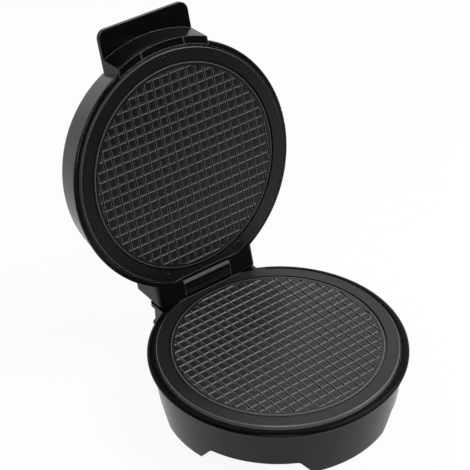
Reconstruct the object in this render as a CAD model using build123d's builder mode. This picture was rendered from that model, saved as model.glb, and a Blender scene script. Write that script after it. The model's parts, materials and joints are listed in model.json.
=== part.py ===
from build123d import *
from math import asin, cos, degrees, radians, sin, tan
import os

os.makedirs("parts", exist_ok=True)

# Sizes are in millimetres and degrees. The origin is on the worktop, under the middle of the plates.
# The front is towards -Y and the hinge is at the rear, towards +Y. The lid stands open at rest.
face_height = 57.5
open_angle = 103.6
fit_gap = 0.2
running_gap = 0.3
screw_play = 0.05

# The two baking plates are one casting, drawn with its baking face up at height zero
disc_radius = 90.0
flange_width = 12.8
chord_inset = 5.8
plate_depth = 8.7
web_depth = 6.5
flange_drop = 0.2
gutter_width = 1.2
gutter_depth = 1.8
gutter_slope = 0.5
plate_edge_chamfer = 0.5
seat_width = 9.0
grid_pitch = 8.5
grid_inset = 2.7
groove_width = 1.9
groove_depth = 1.3
plate_gap = 2.0

# Heating element and its pan, under each plate
element_inset = 24.0
element_radius = 3.4
element_drop = 10.0
element_gap_angle = 60.0
element_bend_radius = 8.0
element_end_drop = 26.0
boss_ring_width = 11.0
boss_slope = 1.0
pan_flange_inset = 3.0
pan_flange_width = 5.0
pan_flare = 1.0
pan_drop = 20.0
pan_wall = 0.8
pan_tail_clearance = 1.5
post_ring_radius = 42.0
post_radius = 4.0
post_count = 3

# One kind of self-tapping screw holds everything
screw_radius = 1.6
head_radius = 3.0
head_height = 1.8
screw_length = 12.0

# Base housing
rim_reach = 8.0
rim_drop = 3.2
rim_thickness = 3.8
rim_round = 1.6
rim_overhang = 3.2
plate_clearance = 1.2
base_draft = 7.5
wall = 2.8
ledge_inset = 9.8
ledge_thickness = 3.0
skirt_clearance = 0.8
arch_height = 15.0
arch_angle = 40.5
arch_top_width = 74.0
arch_foot_width = 95.0
arch_round = 4.0
screw_ring_inset = 5.4
plate_screw_spread = 23.0

# Rear platform of the base, with the fixed hinge barrel on it
platform_half_width = 51.5
platform_reach = 11.5
platform_corner_radius = 4.0
platform_inset = 2.0
bulge_root_inset = 11.0
hinge_reach = 9.0
hinge_rise = 9.1
barrel_radius = 7.0
barrel_half_length = 24.4
pin_radius = 2.5
pin_play = 0.05
pin_inner_end = 3.0
pin_outer_end = 45.5
knuckle_side_gap = 0.4
knuckle_swing_gap = 0.6
stand_foot_x = 44.8
stand_foot_height = 27.5
stand_foot_radius = 3.4
stand_foot_reach = 4.0
stand_stem_radius = 1.5

# Underside cover with its legs and rubber feet
cover_height = 16.4
cover_thickness = 2.4
cover_screw_inset = 16.5
cover_screw_count = 4
cover_boss_radius = 4.0
rib_thickness = 2.0
leg_inset = 24.8
leg_radius = 8.5
leg_hollow_radius = 5.5
leg_spread = 14.0
foot_radius = 6.5
foot_thickness = 3.2
foot_reach = 1.6
foot_chamfer = 0.6
vent_count = 8
vent_ring_radius = 48.0
vent_length = 22.0
vent_width = 3.0

# Lid housing
lid_rim_reach = 5.8
lid_rim_rise = 1.4
lid_rim_thickness = 3.6
lid_rim_round = 1.2
lid_rim_overhang = 1.4
lid_draft = 11.5
lid_height = 43.0
lid_edge_round = 8.0
lid_dome = 3.0
lid_bulge_drop = 1.0
lid_bulge_round = 4.0
plate_boss_height = 12.0

# Lid handle: a hollow grip in front of the lid's wall, with a flat thumb plate on top
handle_half_width = 44.5
handle_side_gap = 0.2
strip_inset = 3.1
strip_reach = 3.4
strip_thickness = 3.0
strip_drop = 0.2
handle_lean = 3.6
handle_wall = 3.0
paddle_rise = 25.7
paddle_thickness = 5.0
paddle_overhang = 19.5
paddle_corner_radius = 8.0
paddle_round = 1.2
seam_x = 21.3
seam_width = 0.6
seam_depth = 0.4
handle_screw_x = 25.0
handle_screw_rise = 19.5
handle_boss_radius = 4.5
handle_pad_inset = 12.6
handle_pad_depth = 3.5

# Lamps on the lid
lens_radius = 4.0
lens_flange_radius = 5.2
lens_flange_thickness = 1.2
lens_reach = 0.7
lens_x = 9.0
lens_front = 66.0
board_length = 46.0
board_width = 15.0
board_thickness = 1.6
board_drop = 12.0
board_screw_x = 18.0
board_post_radius = 3.4
lamp_radius = 2.4

# Thermostat, fuse, terminal block and cord gland
thermostat_x = 20.0
thermostat_radius = 8.0
thermostat_height = 9.0
thermostat_tab_width = 5.0
thermostat_tab_length = 7.0
tab_thickness = 0.8
fuse_radius = 2.2
fuse_length = 14.0
fuse_saddle_length = 8.0
terminal_length = 34.0
terminal_width = 14.0
terminal_height = 14.0
terminal_inset = 15.0
terminal_pitch = 10.0
gland_radius = 5.2
gland_bore_radius = 3.3
gland_flange_radius = 7.6
gland_flange_thickness = 2.0
gland_nut_thickness = 4.0
gland_height = 34.0

# Heights and places that follow from the sizes above
plate_radius = disc_radius + flange_width
plate_chord = plate_radius - chord_inset
grid_radius = disc_radius - grid_inset
gutter_floor_inner = disc_radius + gutter_slope
gutter_floor_outer = gutter_floor_inner + gutter_width
element_ring_radius = disc_radius - element_inset
pan_flange_radius = disc_radius - pan_flange_inset
pan_radius = pan_flange_radius - pan_flange_width
screw_ring_radius = plate_radius - screw_ring_inset
ledge_radius = plate_radius - ledge_inset
rim_radius = plate_radius + rim_reach
hinge_back = plate_chord + hinge_reach
platform_back = hinge_back + platform_reach
bulge_root = plate_chord - bulge_root_inset
cover_screw_radius = rim_radius - cover_screw_inset
leg_ring_radius = rim_radius - leg_inset
terminal_back = ledge_radius - terminal_inset
lid_rim_radius = plate_radius + lid_rim_reach
strip_inner_radius = lid_rim_radius - strip_inset
strip_outer_radius = lid_rim_radius + strip_reach
paddle_front = strip_outer_radius + paddle_overhang
handle_pad_front = lid_rim_radius - handle_pad_inset
hinge_height = face_height + hinge_rise
hinge_axis = Axis((0, hinge_back, hinge_height), (1, 0, 0))
rim_top = face_height - rim_drop
rim_bottom = rim_top - rim_thickness
ledge_top = face_height - plate_depth - fit_gap
ledge_bottom = ledge_top - ledge_thickness
base_wall_radius = rim_radius - rim_overhang
well_radius = plate_radius + plate_clearance
well_chord = plate_chord + plate_clearance
arch_top = skirt_clearance + arch_height
cover_top = cover_height + cover_thickness
platform_wall_back = platform_back - platform_inset
platform_cavity_back = platform_wall_back - wall
upper_face = face_height + plate_gap
lid_bottom = upper_face + lid_rim_rise
lid_rim_top = lid_bottom + lid_rim_thickness
lid_wall_radius = lid_rim_radius - lid_rim_overhang
lid_ledge_bottom = upper_face + plate_depth + fit_gap
lid_ledge_top = lid_ledge_bottom + ledge_thickness
lid_top = face_height + lid_height
dome_top = lid_top + lid_dome
knuckle_inner = barrel_half_length + knuckle_side_gap
swing_radius = barrel_radius + knuckle_swing_gap
bulge_top = lid_top - lid_bulge_drop
bulge_lean = open_angle - 90
bulge_reach = hinge_height - rim_top - running_gap
heel_angle = -degrees(asin((hinge_height - lid_bottom) / bulge_reach))
knuckle_front = well_chord - wall
slot_top = hinge_height + bulge_reach * sin(radians(bulge_lean)) + swing_radius * cos(radians(bulge_lean))
handle_bottom = lid_bottom - strip_drop
paddle_bottom = face_height + paddle_rise
handle_screw_height = face_height + handle_screw_rise
board_bottom = lid_top - board_drop
board_top = board_bottom + board_thickness
plate_screw_angles = (-90, 90 - plate_screw_spread, 90 + plate_screw_spread)
leg_angles = (-90 - leg_spread, -90 + leg_spread, 0, 90 - leg_spread, 90 + leg_spread, 180)
lower_seat = Location((0, 0, face_height))
upper_seat = Location((0, 0, upper_face), (0, 180, 0))


def on_circle(radius, angle):
    """A point in plan, at an angle from +X."""
    return (radius * cos(radians(angle)), radius * sin(radians(angle)))


def base_radius_at(height):
    """Outer radius of the base's drafted wall at a height over the worktop."""
    return base_wall_radius - (rim_bottom - height) * tan(radians(base_draft))


def lid_radius_at(height):
    """Outer radius of the closed lid's drafted wall at a height over the worktop."""
    return lid_wall_radius - (height - lid_rim_top) * tan(radians(lid_draft))


def dome_height_at(radius):
    """Outside height of the closed lid's domed top."""
    return dome_top - lid_dome * (radius / lid_radius_at(lid_top)) ** 2


def bulge_back_at(height):
    """Rear face of the closed lid's bulge. It leans so that it lies flat over the platform when open."""
    rise = (height - hinge_height) * sin(radians(bulge_lean))
    return hinge_back + (bulge_reach - rise) / cos(radians(bulge_lean))


def opened(shape):
    """Lid pieces are drawn closed, then swung open about the hinge pins."""
    return shape.rotate(hinge_axis, -open_angle)


def make_screws(seat, points, length):
    """Pan-head screws: the heads stand behind the seat plane and the shanks run along its normal."""
    with BuildPart() as screws:
        with BuildSketch(seat):
            with Locations(*points):
                Circle(head_radius)
        extrude(amount=-head_height)
        outer_rims = edges().filter_by(lambda edge: seat.to_local_coords(edge.center()).Z < -head_height / 2)
        chamfer(outer_rims, head_height / 3)
        with BuildSketch(seat):
            with Locations(*points):
                Circle(screw_radius)
        extrude(amount=length)
    return screws.part


plate_screw_points = [on_circle(screw_ring_radius, angle) for angle in plate_screw_angles]
post_points = [on_circle(post_ring_radius, 30 + turn * 360 / post_count) for turn in range(post_count)]
cover_screw_points = [
    on_circle(cover_screw_radius, (turn + 0.5) * 360 / cover_screw_count) for turn in range(cover_screw_count)
]
leg_points = [on_circle(leg_ring_radius, angle) for angle in leg_angles]
stand_foot_points = [(-stand_foot_x, stand_foot_height), (stand_foot_x, stand_foot_height)]
handle_screw_points = [(-handle_screw_x, handle_screw_height), (handle_screw_x, handle_screw_height)]
board_screw_points = [(-board_screw_x, -lens_front), (board_screw_x, -lens_front)]
lens_points = [(-lens_x, -lens_front), (lens_x, -lens_front)]

# Plate casting: grid disc, narrow gutter, flat flange, seat ring, heater boss and pan posts
boss_inner = element_ring_radius - boss_ring_width / 2
boss_outer = element_ring_radius + boss_ring_width / 2
seat_inner = plate_radius - seat_width
with BuildPart() as plate_casting:
    with BuildSketch(Plane.XZ):
        with BuildLine():
            Polyline(
                (0, 0),
                (disc_radius, 0),
                (gutter_floor_inner, -gutter_depth),
                (gutter_floor_outer, -gutter_depth),
                (gutter_floor_outer + gutter_slope, -flange_drop),
                (plate_radius - plate_edge_chamfer, -flange_drop),
                (plate_radius, -flange_drop - plate_edge_chamfer),
                (plate_radius, -plate_depth),
                (seat_inner, -plate_depth),
                (seat_inner - boss_slope, -web_depth),
                (boss_outer + boss_slope, -web_depth),
                (boss_outer, -element_drop),
                (boss_inner, -element_drop),
                (boss_inner - boss_slope, -web_depth),
                (0, -web_depth),
                close=True,
            )
        make_face()
    revolve(axis=Axis.Z)
    with BuildSketch(Plane.XZ):
        with Locations((element_ring_radius, -element_drop)):
            Circle(element_radius + fit_gap)
    revolve(axis=Axis.Z, mode=Mode.SUBTRACT)
    with BuildSketch(Plane.XY.offset(-web_depth)):
        with Locations(*post_points):
            Circle(post_radius)
    extrude(amount=-(pan_drop - web_depth - fit_gap))
    with BuildSketch(Plane.XY.offset(-pan_drop + fit_gap)):
        with Locations(*post_points):
            Circle(screw_radius + screw_play)
    extrude(amount=screw_length, mode=Mode.SUBTRACT)
    with BuildSketch(Plane.XY.offset(-plate_depth)):
        with Locations((0, plate_chord)):
            Rectangle(2 * plate_radius, plate_radius, align=(Align.CENTER, Align.MIN))
    extrude(amount=plate_depth, mode=Mode.SUBTRACT)

    # Waffle grid: two crossing sets of V grooves, each stopping at the grid's circle
    grid_lines = int(grid_radius // grid_pitch)
    for number in range(-grid_lines, grid_lines + 1):
        groove_place = number * grid_pitch
        half_chord = (grid_radius**2 - groove_place**2) ** 0.5
        for groove_plane in (Plane.XZ, Plane.YZ):
            with BuildSketch(groove_plane):
                with Locations((groove_place, 0)):
                    Polygon(
                        (-groove_width / 2, 1),
                        (-groove_width / 2, 0),
                        (0, -groove_depth),
                        (groove_width / 2, 0),
                        (groove_width / 2, 1),
                        align=None,
                    )
            extrude(amount=half_chord, both=True, mode=Mode.SUBTRACT)

# Lower baking plate: held by screws that come up through the housing's ledge
plate_screw_depth = (plate_depth - flange_drop) / 2
with BuildPart() as lower_baking_plate:
    add(plate_casting.part.moved(lower_seat))
    with BuildSketch(Plane.XY.offset(face_height - plate_depth)):
        with Locations(*plate_screw_points):
            Circle(screw_radius + screw_play)
    extrude(amount=plate_screw_depth + 1, mode=Mode.SUBTRACT)
lower_baking_plate.part.label = "lower_baking_plate"
export_step(lower_baking_plate.part, "parts/lower_baking_plate.step")

# Lower plate screws: up through the ledge into the plate's seat ring
lower_plate_screws = make_screws(
    Plane.XY.offset(ledge_bottom),
    plate_screw_points,
    ledge_thickness + fit_gap + plate_screw_depth,
)
lower_plate_screws.label = "lower_plate_screws"
export_step(lower_plate_screws, "parts/lower_plate_screws.step")

# Upper baking plate: the same casting turned over, held by sunk screws from its face
with BuildPart() as upper_baking_plate:
    add(plate_casting.part.moved(upper_seat))
    with BuildSketch(Plane.XY.offset(upper_face)):
        with Locations(*plate_screw_points):
            Circle(head_radius + fit_gap)
    extrude(amount=flange_drop + head_height, mode=Mode.SUBTRACT)
    with BuildSketch(Plane.XY.offset(upper_face)):
        with Locations(*plate_screw_points):
            Circle(screw_radius + fit_gap)
    extrude(amount=plate_depth, mode=Mode.SUBTRACT)
upper_baking_plate.part = opened(upper_baking_plate.part)
upper_baking_plate.part.label = "upper_baking_plate"
export_step(upper_baking_plate.part, "parts/upper_baking_plate.step")

# Upper plate screws: their heads lie level with the plate's flange
upper_plate_screws = opened(
    make_screws(Plane.XY.offset(upper_face + flange_drop + head_height), plate_screw_points, screw_length)
)
upper_plate_screws.label = "upper_plate_screws"
export_step(upper_plate_screws, "parts/upper_plate_screws.step")

# Tubular heating element: an open ring in the plate's groove, its two ends bent down through the pan
down = Vector(0, 0, -1)
with BuildPart() as heating_element:
    with BuildLine() as element_path:
        ring = CenterArc(
            (0, 0, -element_drop),
            element_ring_radius,
            90 + element_gap_angle / 2,
            360 - element_gap_angle,
        )
        for ring_end, onward in ((ring @ 0, -(ring % 0)), (ring @ 1, ring % 1)):
            halfway = element_bend_radius * sin(radians(45))
            bend = ThreePointArc(
                ring_end,
                ring_end + onward * halfway + down * (element_bend_radius - halfway),
                ring_end + onward * element_bend_radius + down * element_bend_radius,
            )
            Line(bend @ 1, bend @ 1 + down * (element_end_drop - element_drop - element_bend_radius))
    path_wire = element_path.wire()
    with BuildSketch(Plane(origin=path_wire @ 0, z_dir=path_wire % 0)):
        Circle(element_radius)
    sweep()
element_end = ring @ 1 + (ring % 1) * element_bend_radius

# Heat shield: a pressed steel pan under the element, screwed to the plate's posts
pan_flange_top = -web_depth - fit_gap
with BuildPart() as heat_shield:
    with BuildSketch(Plane.XZ):
        with BuildLine():
            Polyline(
                (0, -pan_drop),
                (pan_radius - pan_wall, -pan_drop),
                (pan_radius + pan_flare - pan_wall, pan_flange_top),
                (pan_flange_radius, pan_flange_top),
                (pan_flange_radius, pan_flange_top - pan_wall),
                (pan_radius + pan_flare, pan_flange_top - pan_wall),
                (pan_radius, -pan_drop - pan_wall),
                (0, -pan_drop - pan_wall),
                close=True,
            )
        make_face()
    revolve(axis=Axis.Z)
    with BuildSketch(Plane.XY.offset(-pan_drop)):
        with Locations(*post_points):
            Circle(screw_radius + fit_gap)
        with Locations((element_end.X, element_end.Y), (-element_end.X, element_end.Y)):
            Circle(element_radius + pan_tail_clearance)
    extrude(amount=-pan_wall, mode=Mode.SUBTRACT)

# Each plate carries its own element, shield and three shield screws
for piece_name, piece in (
    ("heating_element", heating_element.part),
    ("heat_shield", heat_shield.part),
    ("shield_screws", make_screws(Plane.XY.offset(-pan_drop - pan_wall), post_points, screw_length)),
):
    lower_piece = piece.moved(lower_seat)
    lower_piece.label = "lower_" + piece_name
    export_step(lower_piece, "parts/" + lower_piece.label + ".step")
    upper_piece = opened(piece.moved(upper_seat))
    upper_piece.label = "upper_" + piece_name
    export_step(upper_piece, "parts/" + upper_piece.label + ".step")

# Base housing: drafted drum with a rolled rim, arches between its feet, and a rear hinge platform
with BuildPart() as base_housing:
    with BuildSketch(Plane.XZ):
        with BuildLine():
            Polyline(
                (0, skirt_clearance),
                (base_radius_at(skirt_clearance), skirt_clearance),
                (base_wall_radius, rim_bottom),
                (rim_radius, rim_bottom),
                (rim_radius, rim_top),
                (0, rim_top),
                close=True,
            )
        make_face()
        fillet(vertices().group_by(Axis.X)[-1], rim_round)
    revolve(axis=Axis.Z)
    for inset, height, depth in (
        (0, rim_bottom, rim_thickness),
        (platform_inset, arch_top, rim_bottom - arch_top),
    ):
        with BuildSketch(Plane.XY.offset(height)):
            with Locations((0, platform_back - inset)):
                RectangleRounded(
                    2 * (platform_half_width - inset),
                    platform_half_width,
                    platform_corner_radius,
                    align=(Align.CENTER, Align.MAX),
                )
        extrude(amount=depth)

    # Inside of the drum, up to the ledge that carries the plate
    with BuildSketch(Plane.XZ):
        with BuildLine():
            Polyline(
                (0, 0),
                (base_radius_at(0) - wall, 0),
                (base_radius_at(ledge_bottom) - wall, ledge_bottom),
                (ledge_radius, ledge_bottom),
                (ledge_radius, ledge_top),
                (0, ledge_top),
                close=True,
            )
        make_face()
    revolve(axis=Axis.Z, mode=Mode.SUBTRACT)

    # Well for the plate, flat at the rear as the plate is
    with BuildSketch(Plane.XY.offset(ledge_top)):
        Circle(well_radius)
        with Locations((0, well_chord)):
            Rectangle(2 * well_radius, well_radius, align=(Align.CENTER, Align.MIN), mode=Mode.SUBTRACT)
    extrude(amount=rim_top - ledge_top, mode=Mode.SUBTRACT)

    # Inside of the rear platform, open to the drum below the ledge
    for cavity_front, cavity_top in ((well_chord + wall, rim_top - wall), (bulge_root, ledge_bottom)):
        with BuildSketch(Plane.XY.offset(arch_top + wall)):
            with Locations((0, platform_cavity_back)):
                Rectangle(
                    2 * (platform_half_width - platform_inset - wall),
                    platform_cavity_back - cavity_front,
                    align=(Align.CENTER, Align.MAX),
                )
        extrude(amount=cavity_top - arch_top - wall, mode=Mode.SUBTRACT)

    # Four arches leave four broad feet
    for angle in (arch_angle, 180 - arch_angle, 180 + arch_angle, 360 - arch_angle):
        outward_plane = Plane(
            origin=(0, 0, 0),
            x_dir=(-sin(radians(angle)), cos(radians(angle)), 0),
            z_dir=(cos(radians(angle)), sin(radians(angle)), 0),
        )
        with BuildSketch(outward_plane):
            Polygon(
                (-arch_foot_width / 2, 0),
                (arch_foot_width / 2, 0),
                (arch_top_width / 2, arch_top),
                (-arch_top_width / 2, arch_top),
                align=None,
            )
            fillet(vertices().group_by(Axis.Y)[-1], arch_round)
        extrude(amount=rim_radius, mode=Mode.SUBTRACT)

    # Bosses for the underside cover's screws, each with a rib to the wall
    with BuildSketch(Plane.XY.offset(cover_top)):
        with PolarLocations(cover_screw_radius, 4, 45):
            Circle(cover_boss_radius)
            Rectangle(
                base_radius_at(cover_top) - wall / 2 - cover_screw_radius,
                rib_thickness,
                align=(Align.MIN, Align.CENTER),
            )
    extrude(amount=ledge_bottom - cover_top)
    with BuildSketch(Plane.XY.offset(cover_top)):
        with Locations(*cover_screw_points):
            Circle(screw_radius + screw_play)
    extrude(amount=screw_length, mode=Mode.SUBTRACT)
    with BuildSketch(Plane.XY.offset(ledge_bottom)):
        with Locations(*plate_screw_points):
            Circle(screw_radius + fit_gap)
    extrude(amount=ledge_thickness, mode=Mode.SUBTRACT)

    # Fixed hinge barrel on its web, bored from each end for a pin
    with BuildSketch(Plane.YZ):
        with Locations((hinge_back, hinge_height)):
            Circle(barrel_radius)
            Rectangle(2 * barrel_radius, hinge_height - rim_top, align=(Align.CENTER, Align.MAX))
    extrude(amount=barrel_half_length, both=True)
    for side in (-1, 1):
        with BuildSketch(Plane.YZ.offset(side * barrel_half_length)):
            with Locations((hinge_back, hinge_height)):
                Circle(pin_radius + pin_play)
        extrude(amount=-side * (barrel_half_length - pin_inner_end), mode=Mode.SUBTRACT)

    # Holes in the rear wall for the cord gland and the standing feet's stems
    with BuildSketch(Plane.XZ.offset(-platform_cavity_back)):
        with Locations((0, gland_height)):
            Circle(gland_radius + fit_gap)
        with Locations(*stand_foot_points):
            Circle(stand_stem_radius + fit_gap)
    extrude(amount=-wall, mode=Mode.SUBTRACT)
base_housing.part.label = "base_housing"
export_step(base_housing.part, "parts/base_housing.step")

# Hinge pins: two steel pins, fixed in the barrel, on which the lid's knuckles turn
with BuildPart() as hinge_pins:
    for side in (-1, 1):
        with BuildSketch(Plane.YZ.offset(side * (pin_inner_end + fit_gap))):
            with Locations((hinge_back, hinge_height)):
                Circle(pin_radius)
        extrude(amount=side * (pin_outer_end - pin_inner_end - fit_gap))
    chamfer(edges().filter_by(GeomType.CIRCLE), pin_radius / 6)
hinge_pins.part.label = "hinge_pins"
export_step(hinge_pins.part, "parts/hinge_pins.step")

# Underside cover: a flat disc that passes up inside the skirt, with vents and six hollow legs
cover_radius = base_radius_at(skirt_clearance) - wall - fit_gap
with BuildPart() as base_underside_cover:
    with BuildSketch(Plane.XY.offset(cover_height)):
        Circle(cover_radius)
        with PolarLocations(vent_ring_radius, vent_count):
            SlotOverall(vent_length, vent_width, mode=Mode.SUBTRACT)
        with Locations(*cover_screw_points):
            Circle(screw_radius + fit_gap, mode=Mode.SUBTRACT)
    extrude(amount=cover_thickness)
    with BuildSketch(Plane.XY.offset(foot_reach)):
        with Locations(*leg_points):
            Circle(leg_radius)
    extrude(amount=cover_height - foot_reach)
    with BuildSketch(Plane.XY.offset(cover_top)):
        with Locations(*leg_points):
            Circle(leg_hollow_radius)
    extrude(amount=-(cover_top - foot_thickness - cover_thickness), mode=Mode.SUBTRACT)
    with BuildSketch(Plane.XY.offset(foot_reach)):
        with Locations(*leg_points):
            Circle(foot_radius + fit_gap)
    extrude(amount=foot_thickness - foot_reach, mode=Mode.SUBTRACT)
base_underside_cover.part.label = "base_underside_cover"
export_step(base_underside_cover.part, "parts/base_underside_cover.step")

# Rubber feet: one pressed into the end of each leg
with BuildPart() as rubber_feet:
    with BuildSketch():
        with Locations(*leg_points):
            Circle(foot_radius)
    extrude(amount=foot_thickness)
    chamfer(edges().group_by(Axis.Z)[0], foot_chamfer)
rubber_feet.part.label = "rubber_feet"
export_step(rubber_feet.part, "parts/rubber_feet.step")

# Cover screws: four screws up into the housing's bosses
underside_screws = make_screws(Plane.XY.offset(cover_height), cover_screw_points, screw_length)
underside_screws.label = "underside_screws"
export_step(underside_screws, "parts/underside_screws.step")

# Standing feet: two rubber bumpers on the rear wall, on which the closed appliance stands on end
with BuildPart() as rear_standing_feet:
    with BuildSketch(Plane.XZ.offset(-platform_wall_back)):
        with Locations(*stand_foot_points):
            Circle(stand_foot_radius)
    extrude(amount=-stand_foot_reach)
    fillet(edges().group_by(Axis.Y)[-1], stand_foot_radius / 3)
    with BuildSketch(Plane.XZ.offset(-platform_cavity_back)):
        with Locations(*stand_foot_points):
            Circle(stand_stem_radius)
    extrude(amount=-wall)
rear_standing_feet.part.label = "rear_standing_feet"
export_step(rear_standing_feet.part, "parts/rear_standing_feet.step")

# Cord gland: flanged bush through the rear wall, with a nut inside
gland_back = platform_wall_back + gland_flange_thickness
gland_front = platform_cavity_back - gland_nut_thickness
with BuildPart() as cord_gland:
    with BuildSketch(Plane.YZ):
        with BuildLine():
            Polyline(
                (gland_front, gland_height + gland_bore_radius),
                (gland_front, gland_height + gland_flange_radius),
                (platform_cavity_back, gland_height + gland_flange_radius),
                (platform_cavity_back, gland_height + gland_radius),
                (platform_wall_back, gland_height + gland_radius),
                (platform_wall_back, gland_height + gland_flange_radius),
                (gland_back, gland_height + gland_radius),
                (gland_back, gland_height + gland_bore_radius),
                close=True,
            )
        make_face()
    revolve(axis=Axis((0, 0, gland_height), (0, 1, 0)))
cord_gland.part.label = "cord_gland"
export_step(cord_gland.part, "parts/cord_gland.step")

# Terminal block: moulded block on the cover, with a row of screw wells
with BuildPart() as terminal_block:
    with BuildSketch(Plane.XY.offset(cover_top)):
        with Locations((0, terminal_back)):
            RectangleRounded(terminal_length, terminal_width, 1)
    extrude(amount=terminal_height)
    with BuildSketch(Plane.XY.offset(cover_top + terminal_height)):
        with Locations((-terminal_pitch, terminal_back), (0, terminal_back), (terminal_pitch, terminal_back)):
            Circle(head_radius)
    extrude(amount=-terminal_height / 2, mode=Mode.SUBTRACT)
terminal_block.part.label = "terminal_block"
export_step(terminal_block.part, "parts/terminal_block.step")

# Thermostat: round can against the underside of the lower plate, with two tabs
can_top = face_height - web_depth
with BuildPart() as thermostat:
    with BuildSketch(Plane.XY.offset(can_top)):
        with Locations((thermostat_x, 0)):
            Circle(thermostat_radius)
    extrude(amount=-thermostat_height)
    chamfer(edges().group_by(Axis.Z)[0], 1)
    with BuildSketch(Plane.XY.offset(can_top - thermostat_height / 2)):
        with Locations((thermostat_x, 0)):
            Rectangle(thermostat_tab_width, 2 * (thermostat_radius + thermostat_tab_length))
    extrude(amount=-tab_thickness)
thermostat.part.label = "thermostat"
export_step(thermostat.part, "parts/thermostat.step")

# Thermal fuse: small tube on a saddle under the lower shield
saddle_top = face_height - pan_drop - pan_wall
with BuildPart() as thermal_fuse:
    with BuildSketch(Plane.XY.offset(saddle_top)):
        Rectangle(fuse_saddle_length, 3 * fuse_radius)
    extrude(amount=-tab_thickness)
    with BuildSketch(Plane.YZ):
        with Locations((0, saddle_top - fuse_radius - tab_thickness / 2)):
            Circle(fuse_radius)
    extrude(amount=fuse_length / 2, both=True)
thermal_fuse.part.label = "thermal_fuse"
export_step(thermal_fuse.part, "parts/thermal_fuse.step")

# Rear bulge of the lid, drawn closed: a rounded block that lies close over the platform when open
with BuildPart() as lid_bulge:
    with BuildSketch(Plane.YZ):
        with BuildLine():
            heel = CenterArc((hinge_back, hinge_height), bulge_reach, heel_angle, bulge_lean - heel_angle)
            Polyline(
                heel @ 1,
                (bulge_back_at(bulge_top), bulge_top),
                (bulge_root, bulge_top),
                (bulge_root, lid_bottom),
                heel @ 0,
            )
        make_face()
    extrude(amount=platform_half_width, both=True)
    flanks = faces().sort_by(Axis.X)
    flank_edges = flanks[0].edges() + flanks[-1].edges()
    fillet(flank_edges.filter_by(lambda edge: edge.center().Y > bulge_root + 1), lid_bulge_round)

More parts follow.
